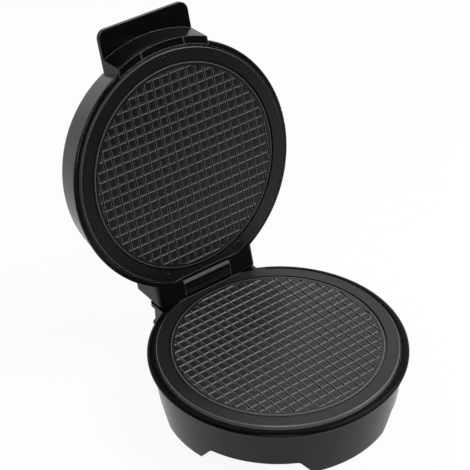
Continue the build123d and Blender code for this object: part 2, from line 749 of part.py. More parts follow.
# Lid housing, drawn closed: drafted drum with a domed top and the bulge that holds the knuckles
with BuildPart() as lid_housing:
    with BuildSketch(Plane.XZ):
        with BuildLine():
            dome = TangentArc((0, dome_top), (lid_radius_at(lid_top), lid_top), tangent=(1, 0))
            Polyline(
                dome @ 1,
                (lid_wall_radius, lid_rim_top),
                (lid_rim_radius, lid_rim_top),
                (lid_rim_radius, lid_bottom),
                (0, lid_bottom),
                (0, dome_top),
            )
        make_face()
        fillet(vertices().group_by(Axis.X)[-1], lid_rim_round)
        fillet(vertices().sort_by_distance((lid_radius_at(lid_top), lid_top))[0], lid_edge_round)
    revolve(axis=Axis.Z)
    add(lid_bulge.part)

    # Inside of the drum, above the ledge that carries the plate
    with BuildSketch(Plane.XZ):
        with BuildLine():
            inner_dome = TangentArc(
                (0, dome_top - wall),
                (lid_radius_at(lid_top) - wall, lid_top - wall),
                tangent=(1, 0),
            )
            Polyline(
                inner_dome @ 1,
                (lid_radius_at(lid_ledge_top) - wall, lid_ledge_top),
                (ledge_radius, lid_ledge_top),
                (ledge_radius, lid_ledge_bottom),
                (0, lid_ledge_bottom),
                (0, dome_top - wall),
            )
        make_face()
        inner_corner = (lid_radius_at(lid_top) - wall, lid_top - wall)
        fillet(vertices().sort_by_distance(inner_corner)[0], lid_edge_round - wall)
    revolve(axis=Axis.Z, mode=Mode.SUBTRACT)
    with BuildSketch(Plane.XY.offset(lid_bottom)):
        Circle(well_radius)
        with Locations((0, well_chord)):
            Rectangle(2 * well_radius, well_radius, align=(Align.CENTER, Align.MIN), mode=Mode.SUBTRACT)
    extrude(amount=lid_ledge_bottom - lid_bottom, mode=Mode.SUBTRACT)

    # Inside of the bulge, above the solid knuckles
    cavity_floor = slot_top + wall
    cavity_roof = bulge_top - wall
    with BuildSketch(Plane.YZ):
        Polygon(
            (bulge_root, cavity_floor),
            (bulge_back_at(cavity_floor) - wall, cavity_floor),
            (bulge_back_at(cavity_roof) - wall, cavity_roof),
            (bulge_root, cavity_roof),
            align=None,
        )
    extrude(amount=platform_half_width - wall, both=True, mode=Mode.SUBTRACT)
    with BuildSketch(Plane.XY.offset(lid_ledge_bottom)):
        with Locations((0, knuckle_front)):
            Rectangle(
                2 * (platform_half_width - wall),
                hinge_back - knuckle_front,
                align=(Align.CENTER, Align.MIN),
            )
    extrude(amount=cavity_floor - lid_ledge_bottom)

    # Slot in which the fixed barrel and its web pass as the lid swings
    with BuildSketch(Plane.YZ):
        with Locations((hinge_back, hinge_height)):
            Circle(swing_radius)
            Rectangle(
                platform_half_width,
                2 * swing_radius,
                rotation=bulge_lean,
                align=(Align.MIN, Align.CENTER),
            )
        with Locations((well_chord - 1, lid_bottom)):
            Rectangle(
                platform_half_width,
                max(hinge_height, lid_ledge_bottom) - lid_bottom,
                align=(Align.MIN, Align.MIN),
            )
    extrude(amount=knuckle_inner, both=True, mode=Mode.SUBTRACT)
    for side in (-1, 1):
        with BuildSketch(Plane.YZ.offset(side * knuckle_inner)):
            with Locations((hinge_back, hinge_height)):
                Circle(pin_radius + pin_play)
        extrude(amount=side * (pin_outer_end + running_gap - knuckle_inner), mode=Mode.SUBTRACT)

    # Notch in the rim for the handle, and flat pads inside the wall for its screws
    with BuildSketch(Plane.XY.offset(lid_bottom)):
        with Locations((0, -strip_inner_radius)):
            Rectangle(2 * (handle_half_width + handle_side_gap), strip_inner_radius)
        Circle(strip_inner_radius - fit_gap, mode=Mode.SUBTRACT)
    extrude(amount=lid_rim_top - lid_bottom, mode=Mode.SUBTRACT)
    with BuildSketch(Plane.XZ.offset(handle_pad_front)):
        with Locations(*handle_screw_points):
            Circle(handle_boss_radius)
    extrude(amount=handle_pad_depth)
    with BuildSketch(Plane.XZ.offset(handle_pad_front)):
        with Locations(*handle_screw_points):
            Circle(screw_radius + fit_gap)
    extrude(amount=screw_length, mode=Mode.SUBTRACT)

    # Bosses on the ledge for the plate's screws, and posts under the top for the lamp board
    with BuildSketch(Plane.XY.offset(lid_ledge_bottom)):
        with Locations(*plate_screw_points):
            Circle(cover_boss_radius)
    extrude(amount=plate_boss_height)
    with BuildSketch(Plane.XY.offset(lid_ledge_bottom)):
        with Locations(*plate_screw_points):
            Circle(screw_radius + screw_play)
    extrude(amount=plate_boss_height - wall, mode=Mode.SUBTRACT)
    with BuildSketch(Plane.XY.offset(board_top)):
        with Locations(*board_screw_points):
            Circle(board_post_radius)
    extrude(amount=lid_top - board_top)
    with BuildSketch(Plane.XY.offset(board_top)):
        with Locations(*board_screw_points):
            Circle(screw_radius + screw_play)
    extrude(amount=screw_length / 2, mode=Mode.SUBTRACT)
    with BuildSketch(Plane.XY.offset(board_top)):
        with Locations(*lens_points):
            Circle(lens_radius + fit_gap)
    extrude(amount=dome_top - board_top, mode=Mode.SUBTRACT)
lid_housing.part = opened(lid_housing.part)
lid_housing.part.label = "lid_housing"
export_step(lid_housing.part, "parts/lid_housing.step")

# Room that the lid's drum takes out of the handle
with BuildPart() as drum_clearance:
    with BuildSketch(Plane.XZ):
        Polygon(
            (0, handle_bottom - 1),
            (strip_inner_radius, handle_bottom - 1),
            (strip_inner_radius, lid_rim_top - fit_gap),
            (lid_wall_radius + fit_gap, lid_rim_top - fit_gap),
            (lid_radius_at(lid_top) + fit_gap, lid_top),
            (0, lid_top),
            align=None,
        )
    revolve(axis=Axis.Z)

# Hollow of the handle's grip, which leaves the two screw bosses standing
grip_lean = handle_lean / (paddle_bottom - handle_bottom)
grip_floor = handle_bottom + strip_thickness
grip_inner_radius = strip_outer_radius - handle_wall
with BuildPart() as grip_hollow:
    with BuildSketch(Plane.XZ):
        Polygon(
            (bulge_root, grip_floor),
            (grip_inner_radius + strip_thickness * grip_lean, grip_floor),
            (grip_inner_radius + handle_lean, paddle_bottom),
            (bulge_root, paddle_bottom),
            align=None,
        )
    revolve(axis=Axis.Z)
    with BuildSketch(Plane.XY.offset(grip_floor)):
        with Locations((0, -rim_radius)):
            Rectangle(2 * (handle_half_width - handle_wall), rim_radius)
    extrude(amount=paddle_bottom - grip_floor, mode=Mode.INTERSECT)
    with BuildSketch(Plane.XZ.offset(bulge_root)):
        with Locations(*handle_screw_points):
            Circle(handle_boss_radius)
    extrude(amount=paddle_front - bulge_root, mode=Mode.SUBTRACT)

# Lid handle: bottom strip, leaning front wall, side walls and a flat thumb plate, cut to fit the drum
with BuildPart() as lid_handle:
    with BuildSketch(Plane.XZ):
        Polygon(
            (bulge_root, handle_bottom),
            (strip_outer_radius, handle_bottom),
            (strip_outer_radius + handle_lean, paddle_bottom),
            (bulge_root, paddle_bottom),
            align=None,
        )
    revolve(axis=Axis.Z)
    with BuildSketch(Plane.XY.offset(handle_bottom)):
        with Locations((0, -rim_radius)):
            Rectangle(2 * handle_half_width, rim_radius)
    extrude(amount=paddle_bottom - handle_bottom, mode=Mode.INTERSECT)
    with BuildSketch(Plane.XY.offset(paddle_bottom)):
        with Locations((0, -paddle_front)):
            RectangleRounded(
                2 * handle_half_width,
                paddle_front - bulge_root + paddle_corner_radius,
                paddle_corner_radius,
                align=(Align.CENTER, Align.MIN),
            )
    extrude(amount=paddle_thickness)
    fillet(edges().group_by(Axis.Z)[-1], paddle_round)
    add(grip_hollow.part, mode=Mode.SUBTRACT)
    add(drum_clearance.part, mode=Mode.SUBTRACT)
    with BuildSketch(Plane.XZ.offset(handle_pad_front)):
        with Locations(*handle_screw_points):
            Circle(screw_radius + screw_play)
    extrude(amount=screw_length + 1, mode=Mode.SUBTRACT)

    # Two thin lines across the strip, where the mould's inserts met
    with BuildSketch(Plane.XY.offset(handle_bottom)):
        with Locations((-seam_x, -strip_outer_radius), (seam_x, -strip_outer_radius)):
            Rectangle(seam_width, strip_outer_radius / 2)
    extrude(amount=seam_depth, mode=Mode.SUBTRACT)
lid_handle.part = opened(lid_handle.part)
lid_handle.part.label = "lid_handle"
export_step(lid_handle.part, "parts/lid_handle.step")

# Handle screws: from inside the drum, through its wall into the handle's bosses
handle_screws = opened(make_screws(Plane.XZ.offset(handle_pad_front), handle_screw_points, screw_length))
handle_screws.label = "handle_screws"
export_step(handle_screws, "parts/handle_screws.step")

# Lamp lenses: two flanged windows let in through the lid's top from inside
lens_distance = (lens_x**2 + lens_front**2) ** 0.5
lens_flange_top = dome_height_at(lens_distance + lens_flange_radius) - wall - fit_gap
for lens_name, lens_point in (("power_lamp_lens", lens_points[0]), ("ready_lamp_lens", lens_points[1])):
    with BuildPart() as lamp_lens:
        with BuildSketch(Plane.XY.offset(lens_flange_top)):
            with Locations(lens_point):
                Circle(lens_radius)
        extrude(amount=dome_height_at(lens_distance) + lens_reach - lens_flange_top)
        fillet(edges().group_by(Axis.Z)[-1], lens_reach)
        with BuildSketch(Plane.XY.offset(lens_flange_top)):
            with Locations(lens_point):
                Circle(lens_flange_radius)
        extrude(amount=-lens_flange_thickness)
    lamp_lens.part = opened(lamp_lens.part)
    lamp_lens.part.label = lens_name
    export_step(lamp_lens.part, "parts/" + lens_name + ".step")

# Lamp board: a small board on two posts under the lid's top, with a lamp below each lens
with BuildPart() as lamp_board:
    with BuildSketch(Plane.XY.offset(board_bottom)):
        with Locations((0, -lens_front)):
            Rectangle(board_length, board_width)
        with Locations(*board_screw_points):
            Circle(screw_radius + fit_gap, mode=Mode.SUBTRACT)
    extrude(amount=board_thickness)
    with BuildSketch(Plane.XY.offset(board_top)):
        with Locations(*lens_points):
            Circle(lamp_radius)
    extrude(amount=lens_flange_top - lens_flange_thickness - running_gap - board_top)
    fillet(edges().group_by(Axis.Z)[-1], lamp_radius / 2)
lamp_board.part = opened(lamp_board.part)
lamp_board.part.label = "lamp_board"
export_step(lamp_board.part, "parts/lamp_board.step")

# Board screws: from below into the two posts
board_screws = opened(
    make_screws(Plane.XY.offset(board_bottom), board_screw_points, screw_length / 2)
)
board_screws.label = "board_screws"
export_step(board_screws, "parts/board_screws.step")
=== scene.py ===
import json
from math import cos, hypot, pi, radians, sin

import bmesh
import bpy
from mathutils import Matrix, Vector


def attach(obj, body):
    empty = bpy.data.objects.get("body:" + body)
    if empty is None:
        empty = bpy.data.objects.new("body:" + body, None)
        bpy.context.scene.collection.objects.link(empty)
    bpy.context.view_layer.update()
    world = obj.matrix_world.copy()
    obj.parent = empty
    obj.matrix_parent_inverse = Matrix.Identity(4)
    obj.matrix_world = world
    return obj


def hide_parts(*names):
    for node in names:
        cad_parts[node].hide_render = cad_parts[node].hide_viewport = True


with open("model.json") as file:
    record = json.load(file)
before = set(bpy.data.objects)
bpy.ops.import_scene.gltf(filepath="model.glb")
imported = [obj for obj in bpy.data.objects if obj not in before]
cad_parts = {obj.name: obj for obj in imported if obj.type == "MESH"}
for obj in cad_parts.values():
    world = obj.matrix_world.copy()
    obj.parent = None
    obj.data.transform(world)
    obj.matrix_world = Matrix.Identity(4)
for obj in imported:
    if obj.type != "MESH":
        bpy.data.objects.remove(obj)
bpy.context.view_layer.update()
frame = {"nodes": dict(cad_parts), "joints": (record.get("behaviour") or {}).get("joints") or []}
cad = frame["nodes"]


# Camera
# It looks down on the open cone maker from its front left, from far off with a long lens, and with
# the slight tilt that the photograph has.
camera_target = Vector((0.0640, 0.1453, 0.0575))
camera_azimuth = radians(-35.876)
camera_elevation = radians(36.067)
camera_roll = radians(-1.791)
camera_distance = 1.4144
camera_lens = 116.96
camera_far_limit = 20

back = Vector((
    sin(camera_azimuth) * cos(camera_elevation),
    -cos(camera_azimuth) * cos(camera_elevation),
    sin(camera_elevation),
))
right = Vector((cos(camera_azimuth), sin(camera_azimuth), 0))
up = back.cross(right)
turned = Matrix((right, up, back)).transposed() @ Matrix.Rotation(camera_roll, 3, "Z")
camera_data = bpy.data.cameras.new("camera")
camera_data.lens = camera_lens
camera_data.clip_end = camera_far_limit
camera = bpy.data.objects.new("camera", camera_data)
camera.matrix_world = Matrix.Translation(camera_target + back * camera_distance) @ turned.to_4x4()
bpy.context.scene.collection.objects.link(camera)
bpy.context.scene.camera = camera
bpy.context.scene.view_settings.view_transform = "Standard"


# Studio
# A white board under and behind the appliance, in a room that is dark on the photographer's side.
# A large soft box at the right lights the grooves, and a weak one fills in from the front left.
backdrop_turn = radians(-35.9)
backdrop_white = 0.95
dark_side_glow = 0.008
dark_side_end = -0.15
light_side_start = 0.35
board_size = 6.0
board_colour = (0.86, 0.86, 0.86, 1)
board_front_edge = -0.17
board_front_fade = 0.25
board_lift = 0.92
board_in_reflections = 0.72
soft_boxes = {
    "right_box": {"place": (1.19, -0.80, 1.68), "size": 1.9, "power": 36},
    "front_box": {"place": (-0.85, -1.15, 1.3), "size": 0.75, "power": 12},
}


def calculate(tree, operation, *given, clamp=False):
    """One Math node. Each of its inputs is a number or another node's output."""
    node = tree.nodes.new("ShaderNodeMath")
    node.operation = operation
    node.use_clamp = clamp
    for socket, value in zip(node.inputs, given):
        if isinstance(value, (int, float)):
            socket.default_value = value
        else:
            tree.links.new(value, socket)
    return node.outputs[0]


def remap(tree, value, low, high, to_low, to_high):
    """Maps low..high of a value to to_low..to_high, clamped."""
    node = tree.nodes.new("ShaderNodeMapRange")
    node.inputs["From Min"].default_value = low
    node.inputs["From Max"].default_value = high
    node.inputs["To Min"].default_value = to_low
    node.inputs["To Max"].default_value = to_high
    tree.links.new(value, node.inputs["Value"])
    return node.outputs["Result"]


def seen_directly(tree):
    """1 where the camera, a reflection or a view through glass meets the surface, else 0."""
    path = tree.nodes.new("ShaderNodeLightPath")
    total = path.outputs["Is Camera Ray"]
    for ray in ("Is Glossy Ray", "Is Transmission Ray"):
        total = calculate(tree, "ADD", total, path.outputs[ray], clamp=True)
    return total


def towards_backdrop(tree, place):
    """How far a place or direction lies towards the backdrop, along the room's depth."""
    dot = tree.nodes.new("ShaderNodeVectorMath")
    dot.operation = "DOT_PRODUCT"
    dot.inputs[1].default_value = (-sin(backdrop_turn), cos(backdrop_turn), 0)
    tree.links.new(place, dot.inputs[0])
    return dot.outputs["Value"]


room = bpy.data.worlds.new("half dark room")
bpy.context.scene.world = room
room.use_nodes = True
tree = room.node_tree
tree.nodes.clear()
direction = tree.nodes.new("ShaderNodeTexCoord")
sides = tree.nodes.new("ShaderNodeBackground")
white = tree.nodes.new("ShaderNodeBackground")
path = tree.nodes.new("ShaderNodeLightPath")
choice = tree.nodes.new("ShaderNodeMixShader")
out = tree.nodes.new("ShaderNodeOutputWorld")
for background in (sides, white):
    background.inputs["Color"].default_value = (1, 1, 1, 1)
depth = towards_backdrop(tree, direction.outputs["Generated"])
brightness = remap(tree, depth, dark_side_end, light_side_start, dark_side_glow, backdrop_white)
tree.links.new(brightness, sides.inputs["Strength"])
tree.links.new(path.outputs["Is Camera Ray"], choice.inputs["Fac"])
tree.links.new(sides.outputs[0], choice.inputs[1])
tree.links.new(white.outputs[0], choice.inputs[2])
tree.links.new(choice.outputs[0], out.inputs["Surface"])

for name, box in soft_boxes.items():
    lamp = bpy.data.lights.new(name, "AREA")
    lamp.shape = "SQUARE"
    lamp.size = box["size"]
    lamp.energy = box["power"]
    lamp_object = bpy.data.objects.new(name, lamp)
    lamp_object.location = box["place"]
    aim = camera_target - lamp_object.location
    lamp_object.rotation_euler = aim.to_track_quat("-Z", "Y").to_euler()
    bpy.context.scene.collection.objects.link(lamp_object)

half = board_size / 2
board_corners = [(-half, -half, 0), (half, -half, 0), (half, half, 0), (-half, half, 0)]
board_mesh = bpy.data.meshes.new("floor")
board_mesh.from_pydata(board_corners, [], [(0, 1, 2, 3)])
floor = bpy.data.objects.new("floor", board_mesh)
bpy.context.scene.collection.objects.link(floor)
board = bpy.data.materials.new("pale board")
board.use_nodes = True
tree = board.node_tree
tree.nodes.clear()
paper = tree.nodes.new("ShaderNodeBsdfDiffuse")
paper.inputs["Color"].default_value = board_colour
glow = tree.nodes.new("ShaderNodeEmission")
ground = tree.nodes.new("ShaderNodeNewGeometry")
path = tree.nodes.new("ShaderNodeLightPath")
blend = tree.nodes.new("ShaderNodeMixShader")
out = tree.nodes.new("ShaderNodeOutputMaterial")
depth = towards_backdrop(tree, ground.outputs["Position"])
board_end = board_front_edge - board_front_fade
reflected = remap(
    tree, depth, board_end, board_front_edge, dark_side_glow, board_in_reflections
)
strength = calculate(tree, "MAXIMUM", reflected, path.outputs["Is Camera Ray"])
share = calculate(tree, "MULTIPLY", seen_directly(tree), board_lift)
tree.links.new(strength, glow.inputs["Strength"])
tree.links.new(share, blend.inputs["Fac"])
tree.links.new(paper.outputs[0], blend.inputs[1])
tree.links.new(glow.outputs[0], blend.inputs[2])
tree.links.new(blend.outputs[0], out.inputs["Surface"])
board_mesh.materials.append(board)


# Base housing
# The drum under the lower plate, moulded in black heat-proof plastic with a satin mould grain. Its
# rim, arches and hinge barrel are in one piece. Its edges and creases, convex and concave alike,
# are painted lighter as a painted highlight.
black_plastic_colour = (0.003, 0.003, 0.0032, 1)
# Painted highlight: the lighter colour laid along the plastic's edges and creases.
black_plastic_edge_highlight = (0.2, 0.2, 0.202, 1)
black_plastic_gloss = 0.33
black_plastic_roughness = (0.13, 0.17)
corner_softness = 0.0006
corner_start = 0.97
corner_end = 0.84
mould_grain_size = 0.00035
mould_grain_depth = 0.00002
mould_patch_size = 0.04
rounding_samples = 6
noise_low = 0.3
noise_high = 0.7


def new_group(name, inputs, outputs):
    """An empty shared effect with its named sockets. Returns the group and its two end nodes."""
    group = bpy.data.node_groups.new(name, "ShaderNodeTree")
    for socket, kind in inputs.items():
        group.interface.new_socket(socket, in_out="INPUT", socket_type=kind)
    for socket, kind in outputs.items():
        group.interface.new_socket(socket, in_out="OUTPUT", socket_type=kind)
    return group, group.nodes.new("NodeGroupInput"), group.nodes.new("NodeGroupOutput")


def add_group_node(tree, group, **values):
    """Places a shared effect in a material, with this material's own values."""
    node = tree.nodes.new("ShaderNodeGroup")
    node.node_tree = group
    for socket, value in values.items():
        node.inputs[socket.replace("_", " ")].default_value = value
    return node


def surface_noise(group, size, detail):
    """A noise fixed to the piece, with the size of its grain in metres from a socket."""
    place = group.nodes.new("ShaderNodeTexCoord")
    noise = group.nodes.new("ShaderNodeTexNoise")
    noise.inputs["Detail"].default_value = detail
    group.links.new(place.outputs["Object"], noise.inputs["Vector"])
    group.links.new(calculate(group, "DIVIDE", 1, size), noise.inputs["Scale"])
    return noise.outputs["Fac"]


def mix_colours(tree, mask, first, second):
    """The first colour where the mask is 0 and the second where it is 1. Each of them is a colour
    or another node's output."""
    node = tree.nodes.new("ShaderNodeMix")
    node.data_type = "RGBA"
    tree.links.new(mask, node.inputs["Factor"])
    for socket, colour in (("A", first), ("B", second)):
        if isinstance(colour, tuple):
            node.inputs[socket].default_value = colour
        else:
            tree.links.new(colour, node.inputs[socket])
    return node.outputs["Result"]


def new_material(name, metallic=0.0):
    """A material with its Principled shader. Returns the material, its tree and the shader."""
    material = bpy.data.materials.new(name)
    material.use_nodes = True
    shader = material.node_tree.nodes["Principled BSDF"]
    shader.inputs["Metallic"].default_value = metallic
    return material, material.node_tree, shader


def vary_roughness(tree, shader, noise, roughness):
    """Lets the roughness go from its lower to its upper value with a noise."""
    value = remap(tree, noise, noise_low, noise_high, *roughness)
    tree.links.new(value, shader.inputs["Roughness"])


def add_bump(tree, shader, height, depth, normal=None):
    """Raises the surface by a height, over an already softened normal where one is given."""
    bump = tree.nodes.new("ShaderNodeBump")
    bump.inputs["Strength"].default_value = 1
    bump.inputs["Distance"].default_value = depth
    tree.links.new(height, bump.inputs["Height"])
    if normal is not None:
        tree.links.new(normal, bump.inputs["Normal"])
    tree.links.new(bump.outputs["Normal"], shader.inputs["Normal"])


def paint(node, material):
    """Gives a carried-over CAD node its finish."""
    cad[node].data.materials.clear()
    cad[node].data.materials.append(material)


soft_corners, given, result = new_group(
    "soft corners",
    {"Radius": "NodeSocketFloat"},
    {"Normal": "NodeSocketVector", "Straight": "NodeSocketFloat"},
)
rounding = soft_corners.nodes.new("ShaderNodeBevel")
rounding.samples = rounding_samples
flat = soft_corners.nodes.new("ShaderNodeNewGeometry")
alike = soft_corners.nodes.new("ShaderNodeVectorMath")
alike.operation = "DOT_PRODUCT"
soft_corners.links.new(given.outputs["Radius"], rounding.inputs["Radius"])
soft_corners.links.new(rounding.outputs["Normal"], alike.inputs[0])
soft_corners.links.new(flat.outputs["Normal"], alike.inputs[1])
soft_corners.links.new(rounding.outputs["Normal"], result.inputs["Normal"])
soft_corners.links.new(alike.outputs["Value"], result.inputs["Straight"])

grain, given, result = new_group(
    "grain",
    {"Size": "NodeSocketFloat", "Patch Size": "NodeSocketFloat"},
    {"Height": "NodeSocketFloat", "Patches": "NodeSocketFloat"},
)
fine = surface_noise(grain, given.outputs["Size"], detail=3)
coarse = surface_noise(grain, given.outputs["Patch Size"], detail=2)
grain.links.new(fine, result.inputs["Height"])
grain.links.new(coarse, result.inputs["Patches"])

black_plastic, tree, shader = new_material("black plastic")
corners = add_group_node(tree, soft_corners, Radius=corner_softness)
skin = add_group_node(tree, grain, Size=mould_grain_size, Patch_Size=mould_patch_size)
# Painted highlight: edges and creases, found by the rounding, are painted lighter.
edge_highlight_mask = remap(tree, corners.outputs["Straight"], corner_start, corner_end, 0, 1)
colour = mix_colours(tree, edge_highlight_mask, black_plastic_colour, black_plastic_edge_highlight)
tree.links.new(colour, shader.inputs["Base Color"])
vary_roughness(tree, shader, skin.outputs["Patches"], black_plastic_roughness)
add_bump(tree, shader, skin.outputs["Height"], mould_grain_depth, corners.outputs["Normal"])
shader.inputs["Specular IOR Level"].default_value = black_plastic_gloss
paint("base_housing", black_plastic)


# Rim roll
# The top edge of the drum, moulded as a low round bead that sheds batter and dies out at the hinge
# platform. Spilt oil has taken the sheen off its top, so it stays black against the plate.
rim_gloss = 0.06
rim_top = 0.0543
rim_roll_section = (
    (0.10425, -0.0001), (0.10460, 0.0003), (0.10520, 0.0007), (0.10610, 0.0010),
    (0.10710, 0.0010), (0.10810, 0.0008), (0.10900, 0.0005), (0.10975, 0.0001),
    (0.11030, -0.0004), (0.11065, -0.0009), (0.11074, -0.0013), (0.11060, -0.0016),
)
rim_roll_open = radians(62)
rim_roll_fade = radians(9)
rim_roll_sink = 0.00005
rim_roll_steps = 240


def black_plastic_with(name, gloss):
    """The black plastic with a gloss of its own."""
    material = black_plastic.copy()
    material.name = name
    shader = material.node_tree.nodes["Principled BSDF"]
    shader.inputs["Specular IOR Level"].default_value = gloss
    return material


first_turn = pi / 2 + rim_roll_open / 2
swept = 2 * pi - rim_roll_open
points = []
for step in range(rim_roll_steps + 1):
    turn = swept * step / rim_roll_steps
    rise = min(1, min(turn, swept - turn) / rim_roll_fade)
    rise = rise * rise * (3 - 2 * rise)
    way = first_turn + turn
    for radius, height in rim_roll_section:
        lifted = height * rise if height > 0 else height
        top = rim_top + lifted - rim_roll_sink * (1 - rise)
        points.append((radius * cos(way), radius * sin(way), top))
faces = []
row = len(rim_roll_section)
for step in range(rim_roll_steps):
    for place in range(row - 1):
        corner = step * row + place
        faces.append((corner, corner + row, corner + row + 1, corner + 1))
mesh = bpy.data.meshes.new("rim_roll")
mesh.from_pydata(points, [], faces)
mesh.shade_smooth()
mesh.materials.append(black_plastic_with("oiled black plastic", rim_gloss))
rim_roll = bpy.data.objects.new("rim_roll", mesh)
bpy.context.scene.collection.objects.link(rim_roll)
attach(rim_roll, "base")


# Lower baking plate
# An aluminium casting with a satin, finely speckled non-stick coating, sprayed on and baked. The
# cross grooves' walls and the edges are painted light as a painted highlight, and the grooves and
# gutter are painted near black as painted shade.
coating_colour = (0.0045, 0.0045, 0.0047, 1)
# Painted shade: the near-black colour laid in the grooves and the gutter.
coating_painted_shade = (0.0015, 0.0015, 0.0015, 1)
# Painted highlight: the light colour of the lines on pad edges, groove walls and plate edges.
edges_painted_highlight = (0.2, 0.2, 0.202, 1)
used_gloss = 0.5
coating_roughness = (0.25, 0.31)
coating_patch_size = 0.05
orange_peel_size = 0.0012
orange_peel_depth = 0.000015
speckle_colour = (0.02, 0.02, 0.021, 1)
speckle_size = 0.0006
speckle_strength = 0.6
speckle_edge = 0.18
speckle_core = 0.1
pad_pitch = 0.0085
groove_width = 0.0019
groove_wall_place = 0.36
grid_reach = 0.0873
disc_reach = 0.0900
gutter_width = 0.0022
gutter_shade_share = 0.75
plate_reach = 0.1028
plate_chord = 0.0970
edge_line = 0.0004
wall_line = 0.0006
outer_line = 0.0007
line_fade = 2.0
hollow_fade = 2.2
fade_start = 1.5


def band_at(distance, width, fade):
    """1 where a distance is near 0, falling off to 0 before it reaches the given width."""
    share = calculate(pad_grid, "DIVIDE", calculate(pad_grid, "ABSOLUTE", distance), width)
    faded = calculate(pad_grid, "MULTIPLY", share, fade)
    return calculate(pad_grid, "SUBTRACT", fade_start, faded, clamp=True)


def distance_to_axis(tree, across, along):
    """How far a point lies from the upright axis of both plates."""
    squares = [calculate(tree, "MULTIPLY", way, way) for way in (across, along)]
    return calculate(tree, "SQRT", calculate(tree, "ADD", *squares))


def place_turned_back(tree, turned_back):
    """Where a point of the piece lies after the piece is turned back to closed."""
    place = tree.nodes.new("ShaderNodeTexCoord")
    level = tree.nodes.new("ShaderNodeMapping")
    level.inputs["Rotation"].default_value = turned_back.to_euler()
    level.inputs["Location"].default_value = turned_back.to_translation()
    tree.links.new(place.outputs["Object"], level.inputs["Vector"])
    return level.outputs["Vector"]


pad_grid, given, result = new_group(
    "pad grid",
    {
        "Place": "NodeSocketVector",
        "Pitch": "NodeSocketFloat",
        "Groove Width": "NodeSocketFloat",
        "Line Width": "NodeSocketFloat",
    },
    {"Painted Highlight": "NodeSocketFloat", "Painted Shade": "NodeSocketFloat"},
)
flat_place = pad_grid.nodes.new("ShaderNodeSeparateXYZ")
pad_grid.links.new(given.outputs["Place"], flat_place.inputs["Vector"])
across, along = flat_place.outputs["X"], flat_place.outputs["Y"]
line = given.outputs["Line Width"]
half_pitch = calculate(pad_grid, "MULTIPLY", given.outputs["Pitch"], 0.5)
half_groove = calculate(pad_grid, "MULTIPLY", given.outputs["Groove Width"], 0.5)
groove_wall = calculate(pad_grid, "MULTIPLY", given.outputs["Groove Width"], groove_wall_place)
to_long_groove, to_cross_groove = [
    calculate(pad_grid, "PINGPONG", calculate(pad_grid, "ABSOLUTE", way), half_pitch)
    for way in (across, along)
]
off_cross_groove = calculate(pad_grid, "GREATER_THAN", to_cross_groove, half_groove)

to_long_edge = calculate(pad_grid, "SUBTRACT", to_long_groove, half_groove)
to_cross_wall = calculate(pad_grid, "SUBTRACT", to_cross_groove, groove_wall)
long_edge = band_at(to_long_edge, line, line_fade)
long_edge = calculate(pad_grid, "MULTIPLY", long_edge, off_cross_groove)
cross_wall = band_at(to_cross_wall, wall_line, line_fade)
edges = calculate(pad_grid, "MAXIMUM", long_edge, cross_wall)
long_hollow = band_at(to_long_groove, half_groove, hollow_fade)
cross_hollow = band_at(to_cross_groove, groove_wall, hollow_fade)
long_hollow = calculate(pad_grid, "MULTIPLY", long_hollow, off_cross_groove)
hollows = calculate(pad_grid, "MAXIMUM", long_hollow, cross_hollow)

from_middle = distance_to_axis(pad_grid, across, along)
in_grid = calculate(pad_grid, "LESS_THAN", from_middle, grid_reach)
to_disc = calculate(pad_grid, "SUBTRACT", from_middle, disc_reach)
to_round = calculate(pad_grid, "SUBTRACT", plate_reach, from_middle)
to_chord = calculate(pad_grid, "SUBTRACT", plate_chord, along)
to_outline = calculate(pad_grid, "MINIMUM", to_round, to_chord)
to_gutter = calculate(pad_grid, "SUBTRACT", from_middle, disc_reach + gutter_width / 2)
# Painted highlight: light lines on pad edges, cross-groove walls, the disc edge and the plate
# outline.
painted_highlight = calculate(pad_grid, "MULTIPLY", edges, in_grid)
for distance in (to_disc, to_outline):
    painted_highlight = calculate(pad_grid, "MAXIMUM", painted_highlight, band_at(distance, outer_line, line_fade))
gutter = band_at(to_gutter, gutter_width * gutter_shade_share, hollow_fade)
# Painted shade: the groove bottoms and the gutter are painted near black.
painted_shade = calculate(pad_grid, "MULTIPLY", hollows, in_grid)
painted_shade = calculate(pad_grid, "MAXIMUM", painted_shade, gutter)
pad_grid.links.new(painted_highlight, result.inputs["Painted Highlight"])
pad_grid.links.new(painted_shade, result.inputs["Painted Shade"])


def coated_material(name, turned_back, highlight_colour, gloss):
    """The coating, with its painted highlight lines and painted groove shade laid out as the
    closed plate lies.
    """
    material, tree, shader = new_material(name)
    level = place_turned_back(tree, turned_back)
    lines = add_group_node(
        tree, pad_grid, Pitch=pad_pitch, Groove_Width=groove_width, Line_Width=edge_line
    )
    tree.links.new(level, lines.inputs["Place"])
    peel = add_group_node(tree, grain, Size=orange_peel_size, Patch_Size=coating_patch_size)
    place = tree.nodes.new("ShaderNodeTexCoord")
    flecks = tree.nodes.new("ShaderNodeTexVoronoi")
    flecks.inputs["Scale"].default_value = 1 / speckle_size
    tree.links.new(place.outputs["Object"], flecks.inputs["Vector"])
    fleck = remap(
        tree, flecks.outputs["Distance"], speckle_edge, speckle_core, 0, speckle_strength
    )
    colour = mix_colours(tree, fleck, coating_colour, speckle_colour)
    # Painted highlight laid over the coating, then painted shade over that.
    colour = mix_colours(tree, lines.outputs["Painted Highlight"], colour, highlight_colour)
    colour = mix_colours(tree, lines.outputs["Painted Shade"], colour, coating_painted_shade)
    tree.links.new(colour, shader.inputs["Base Color"])
    vary_roughness(tree, shader, peel.outputs["Patches"], coating_roughness)
    add_bump(tree, shader, peel.outputs["Height"], orange_peel_depth)
    shader.inputs["Specular IOR Level"].default_value = gloss
    return material


lower_coating = coated_material(
    "lower plate coating", Matrix.Identity(4), edges_painted_highlight, used_gloss
)
paint("lower_baking_plate", lower_coating)


